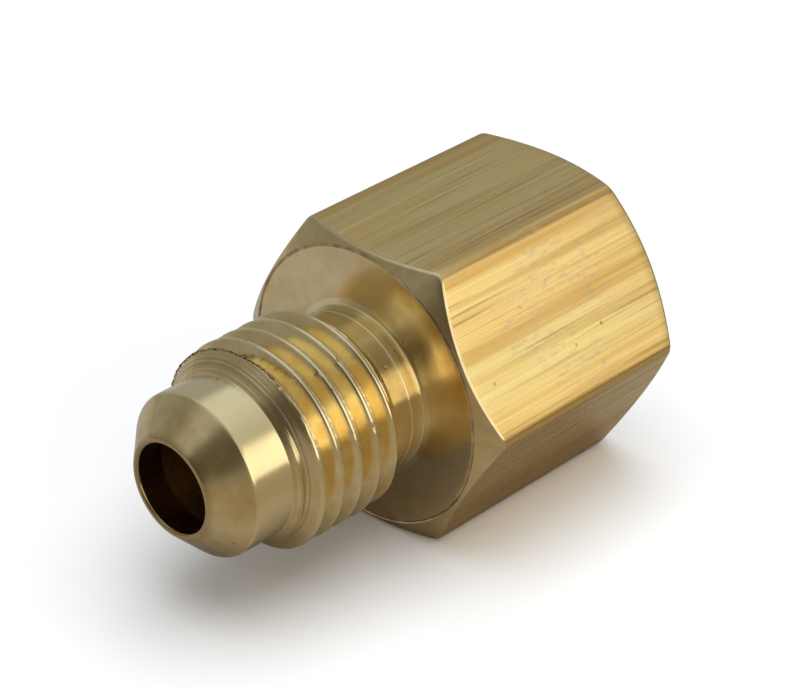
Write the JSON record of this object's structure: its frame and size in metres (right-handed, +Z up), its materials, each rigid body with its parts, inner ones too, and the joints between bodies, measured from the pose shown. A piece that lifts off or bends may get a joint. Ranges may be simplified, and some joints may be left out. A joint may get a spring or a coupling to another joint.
{
  "type": "flare fitting",
  "caption": "Brass pipe adapter with a male 45-degree flare end, a threaded neck and a hexagon body holding a female taper pipe socket.",
  "frame": {"origin": "centre of the bounding box's bottom face; the fitting lies on one hexagon flat", "axes": "+Y along the bore towards the pipe socket, so the flare nose points to -Y; +Z up, through the middle of the top hexagon flat; +X to the right when the nose faces the viewer"},
  "size_m": [0.0182, 0.028, 0.0159],
  "materials": {
    "brass": "drawn flats, bright turned ends"
  },
  "bodies": {
    "root": {"flare_fitting_body": "brass"}
  },
  "joints": []
}
